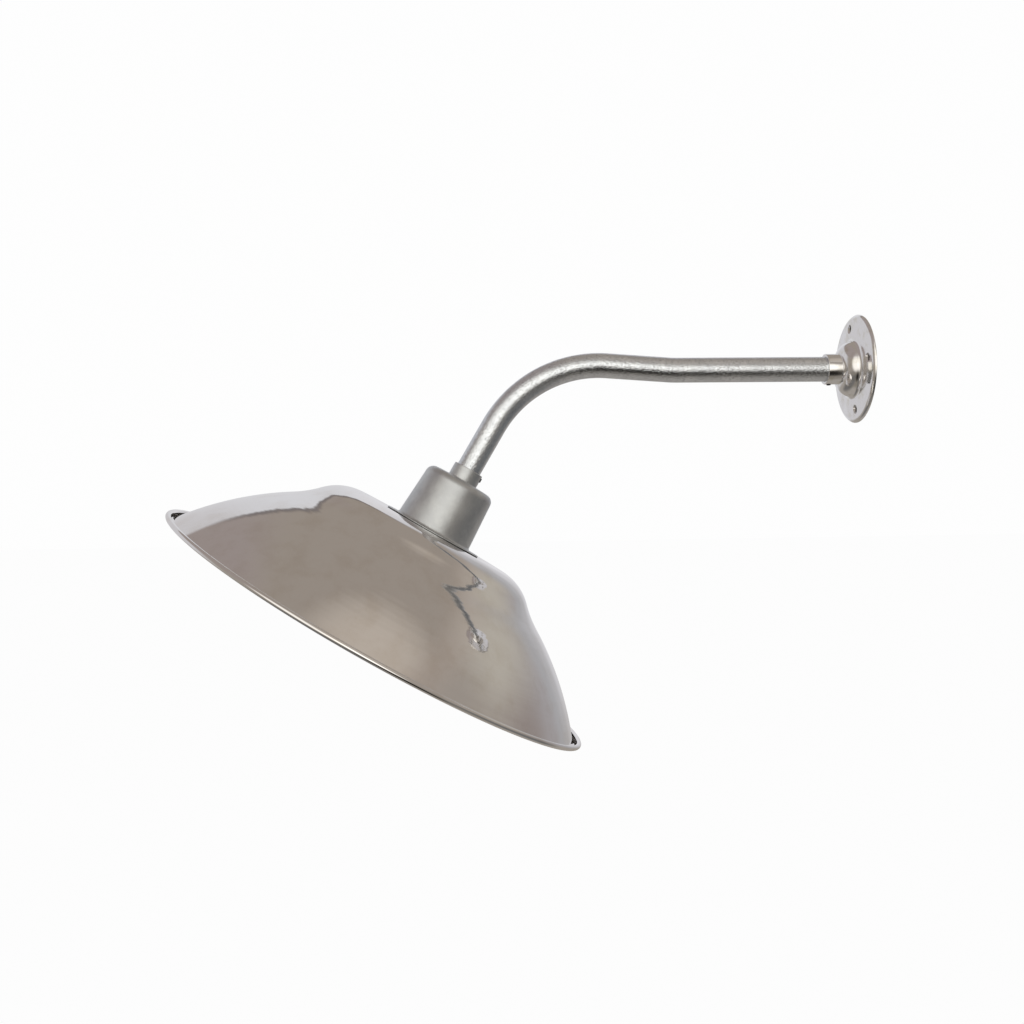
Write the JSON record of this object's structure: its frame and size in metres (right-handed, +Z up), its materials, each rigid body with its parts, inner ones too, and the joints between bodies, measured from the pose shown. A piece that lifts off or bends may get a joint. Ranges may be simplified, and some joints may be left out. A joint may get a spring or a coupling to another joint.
{
  "type": "gooseneck wall sconce",
  "caption": "Wall light with a round flange, a bent steel tube arm, a cast socket housing and a wide spun metal shade with a rolled rim, over a screw-in lamp.",
  "frame": {"origin": "centre of the wall flange's back face, on the plane of the wall", "axes": "+Z up, -Y straight out from the wall along the arm, +X sideways along the wall, to the right when looking at the wall"},
  "size_m": [0.4094, 0.6098, 0.3781],
  "materials": {
    "cast_flange": "polished casting",
    "cast_housing": "satin casting",
    "galvanised_tube": "bright galvanised",
    "spun_shade": "polished",
    "zinc_steel": "zinc plated",
    "black_screw": "black oxide",
    "gasket_rubber": "matte",
    "porcelain": "glazed",
    "brass": "plain",
    "nylon": "matte",
    "insulation_black": "matte",
    "insulation_white": "matte",
    "insulation_green": "matte",
    "clear_glass": "clear",
    "cap_metal": "bright",
    "black_glass": "gloss",
    "solder": "dull",
    "tungsten": "dull"
  },
  "bodies": {
    "wall_mount": {"wall_flange": "cast_flange", "flange_set_screw": "black_screw"},
    "arm": {"gooseneck_arm": "galvanised_tube", "wire_bushing_wall": "nylon", "wire_bushing_lamp": "nylon", "socket_housing": "cast_housing", "housing_set_screw": "black_screw", "shade_gasket": "gasket_rubber", "shade": "spun_shade", "clamp_ring": "zinc_steel", "clamp_screws": "zinc_steel", "holder_bracket": "zinc_steel", "bracket_screws": "zinc_steel", "holder_screws": "zinc_steel", "holder_body": "porcelain", "screw_shell": "brass", "centre_contact": "brass", "terminal_screws": "brass", "earth_terminal": "zinc_steel", "earth_screw": "brass", "line_lead": "insulation_black", "neutral_lead": "insulation_white", "earth_lead": "insulation_green"},
    "lamp": {"lamp_glass": "clear_glass", "lamp_cap": "cap_metal", "lamp_cap_insulator": "black_glass", "lamp_contact": "solder", "lamp_stem": "clear_glass", "lamp_support_wires": "tungsten", "lamp_filament": "tungsten"}
  },
  "joints": [
    {"name": "arm_swivel", "type": "hinge", "parent": "wall_mount", "child": "arm", "pos_m": [0, 0, 0], "axis": [0, 1, 0], "range_deg": [-15, 15]},
    {"name": "lamp_unscrew", "type": "slide", "parent": "arm", "child": "lamp", "axis": [0, -0.5105, -0.8599], "range_m": [0, 0.035]}
  ]
}
